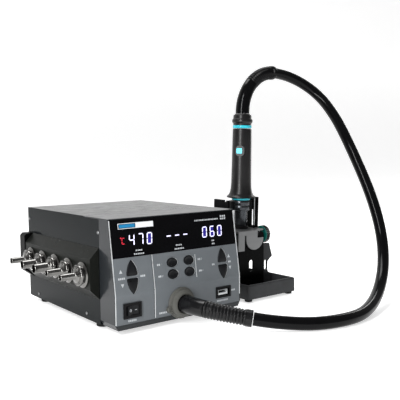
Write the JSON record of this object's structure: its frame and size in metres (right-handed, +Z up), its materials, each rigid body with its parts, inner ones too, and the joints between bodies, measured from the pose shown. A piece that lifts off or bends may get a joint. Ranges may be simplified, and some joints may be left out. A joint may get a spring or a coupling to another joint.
{
  "type": "hot air rework station",
  "caption": "Bench hot air rework station: case with sloping control panel and stored nozzles, air hose, and a handle resting upright in a tilting stand.",
  "frame": {"origin": "middle of the underside of the case, stand and handle together, on the bench, the free hose left out", "axes": "+X to the right along the control panel, towards the stand; +Y from the control panel towards the back; +Z up"},
  "size_m": [0.4514, 0.3842, 0.3361],
  "materials": {
    "case_paint": "satin",
    "bezel_paint": "satin",
    "fascia_grey": "satin",
    "window_gloss": "polished",
    "black_plastic": "satin",
    "button_black": "satin",
    "rubber_black": "matte",
    "turned_steel": "turned",
    "stand_paint": "satin",
    "column_black": "satin",
    "bracket_silver": "brushed",
    "gunmetal": "polished dark",
    "cyan_ring": "satin",
    "button_cyan": "lit",
    "circuit_board": "matte",
    "ceramic": "matte"
  },
  "bodies": {
    "station": {"display_board": "circuit_board", "chassis_base": "case_paint", "top_cover": "case_paint", "rear_panel": "case_paint", "power_inlet": "black_plastic", "front_bezel": "bezel_paint", "front_fascia": "fascia_grey", "display_window": "window_gloss", "case_foot_front_left": "rubber_black", "case_foot_front_right": "rubber_black", "case_foot_rear_left": "rubber_black", "case_foot_rear_right": "rubber_black", "rocker_frame": "black_plastic", "usb_port": "black_plastic", "hose_outlet": "fascia_grey", "nozzle_panel": "case_paint", "nozzle_end_cap": "black_plastic", "blower_housing": "black_plastic", "blower_motor": "turned_steel", "air_duct": "rubber_black", "main_board": "circuit_board", "station_boot": "rubber_black", "stand_base": "stand_paint", "stand_foot_front_left": "rubber_black", "stand_foot_front_right": "rubber_black", "stand_foot_rear_left": "rubber_black", "stand_foot_rear_right": "rubber_black", "stand_column": "column_black", "side_bracket": "stand_paint", "hinge_pin": "turned_steel", "hose_lower": "rubber_black", "hose_upper": "rubber_black"},
    "holder": {"tilt_yoke": "bracket_silver", "holder_plate": "column_black", "holder_seat": "black_plastic", "holder_clip": "black_plastic"},
    "handle": {"handle_grip": "black_plastic", "handle_ring_lower": "cyan_ring", "handle_ring_upper": "cyan_ring", "handle_barrel": "gunmetal", "heater_core": "ceramic", "handle_nut": "black_plastic", "handle_boot": "rubber_black"},
    "grip_button": {"grip_button": "button_cyan"},
    "clamp_knob": {"clamp_knob": "bracket_silver"},
    "power_rocker": {"power_rocker": "black_plastic"},
    "temperature_up_button": {"temperature_up_button": "button_black"},
    "temperature_down_button": {"temperature_down_button": "button_black"},
    "airflow_up_button": {"airflow_up_button": "button_black"},
    "airflow_down_button": {"airflow_down_button": "button_black"},
    "channel_button_1": {"channel_button_1": "button_black"},
    "channel_button_2": {"channel_button_2": "button_black"},
    "channel_button_3": {"channel_button_3": "button_black"},
    "channel_button_4": {"channel_button_4": "button_black"},
    "nozzle_1": {"nozzle_1": "turned_steel"},
    "nozzle_2": {"nozzle_2": "turned_steel"},
    "nozzle_3": {"nozzle_3": "turned_steel"},
    "nozzle_4": {"nozzle_4": "turned_steel"},
    "nozzle_5": {"nozzle_5": "turned_steel"},
    "blower_impeller": {"blower_impeller": "black_plastic"}
  },
  "joints": [
    {"name": "holder_tilt", "type": "hinge", "parent": "station", "child": "holder", "pos_m": [0.12295, -0.00509, 0.084], "axis": [1, 0, 0], "range_deg": [-15, 1.5]},
    {"name": "handle_lift", "type": "slide", "parent": "holder", "child": "handle", "axis": [0, -0.0349, 0.9994], "range_m": [0, 0.06]},
    {"name": "grip_button_press", "type": "slide", "parent": "handle", "child": "grip_button", "axis": [0.788, 0.6153, 0.0215], "range_m": [0, 0.0012], "stiffness_N_per_m": 400, "springref_m": -0.001},
    {"name": "clamp_knob_turn", "type": "hinge", "parent": "station", "child": "clamp_knob", "pos_m": [0.15445, -0.00509, 0.084], "axis": [1, 0, 0], "continuous": true},
    {"name": "power_rocker_tilt", "type": "hinge", "parent": "station", "child": "power_rocker", "pos_m": [-0.11985, -0.07059, 0.0274], "axis": [0, 0, 1], "range_deg": [-16, 0]},
    {"name": "temperature_up_press", "type": "slide", "parent": "station", "child": "temperature_up_button", "axis": [0, 0.9896, -0.1438], "range_m": [0, 0.0013], "stiffness_N_per_m": 400, "springref_m": -0.001},
    {"name": "temperature_down_press", "type": "slide", "parent": "station", "child": "temperature_down_button", "axis": [0, 0.9896, -0.1438], "range_m": [0, 0.0013], "stiffness_N_per_m": 400, "springref_m": -0.001},
    {"name": "airflow_up_press", "type": "slide", "parent": "station", "child": "airflow_up_button", "axis": [0, 0.9896, -0.1438], "range_m": [0, 0.0013], "stiffness_N_per_m": 400, "springref_m": -0.001},
    {"name": "airflow_down_press", "type": "slide", "parent": "station", "child": "airflow_down_button", "axis": [0, 0.9896, -0.1438], "range_m": [0, 0.0013], "stiffness_N_per_m": 400, "springref_m": -0.001},
    {"name": "channel_1_press", "type": "slide", "parent": "station", "child": "channel_button_1", "axis": [0, 0.9896, -0.1438], "range_m": [0, 0.001], "stiffness_N_per_m": 400, "springref_m": -0.001},
    {"name": "channel_2_press", "type": "slide", "parent": "station", "child": "channel_button_2", "axis": [0, 0.9896, -0.1438], "range_m": [0, 0.001], "stiffness_N_per_m": 400, "springref_m": -0.001},
    {"name": "channel_3_press", "type": "slide", "parent": "station", "child": "channel_button_3", "axis": [0, 0.9896, -0.1438], "range_m": [0, 0.001], "stiffness_N_per_m": 400, "springref_m": -0.001},
    {"name": "channel_4_press", "type": "slide", "parent": "station", "child": "channel_button_4", "axis": [0, 0.9896, -0.1438], "range_m": [0, 0.001], "stiffness_N_per_m": 400, "springref_m": -0.001},
    {"name": "nozzle_1_pull", "type": "slide", "parent": "station", "child": "nozzle_1", "axis": [-1, 0, 0], "range_m": [0, 0.045]},
    {"name": "nozzle_2_pull", "type": "slide", "parent": "station", "child": "nozzle_2", "axis": [-1, 0, 0], "range_m": [0, 0.045]},
    {"name": "nozzle_3_pull", "type": "slide", "parent": "station", "child": "nozzle_3", "axis": [-1, 0, 0], "range_m": [0, 0.045]},
    {"name": "nozzle_4_pull", "type": "slide", "parent": "station", "child": "nozzle_4", "axis": [-1, 0, 0], "range_m": [0, 0.045]},
    {"name": "nozzle_5_pull", "type": "slide", "parent": "station", "child": "nozzle_5", "axis": [-1, 0, 0], "range_m": [0, 0.045]},
    {"name": "impeller_spin", "type": "hinge", "parent": "station", "child": "blower_impeller", "pos_m": [-0.05055, 0.08491, 0.06], "axis": [1, 0, 0], "continuous": true}
  ]
}
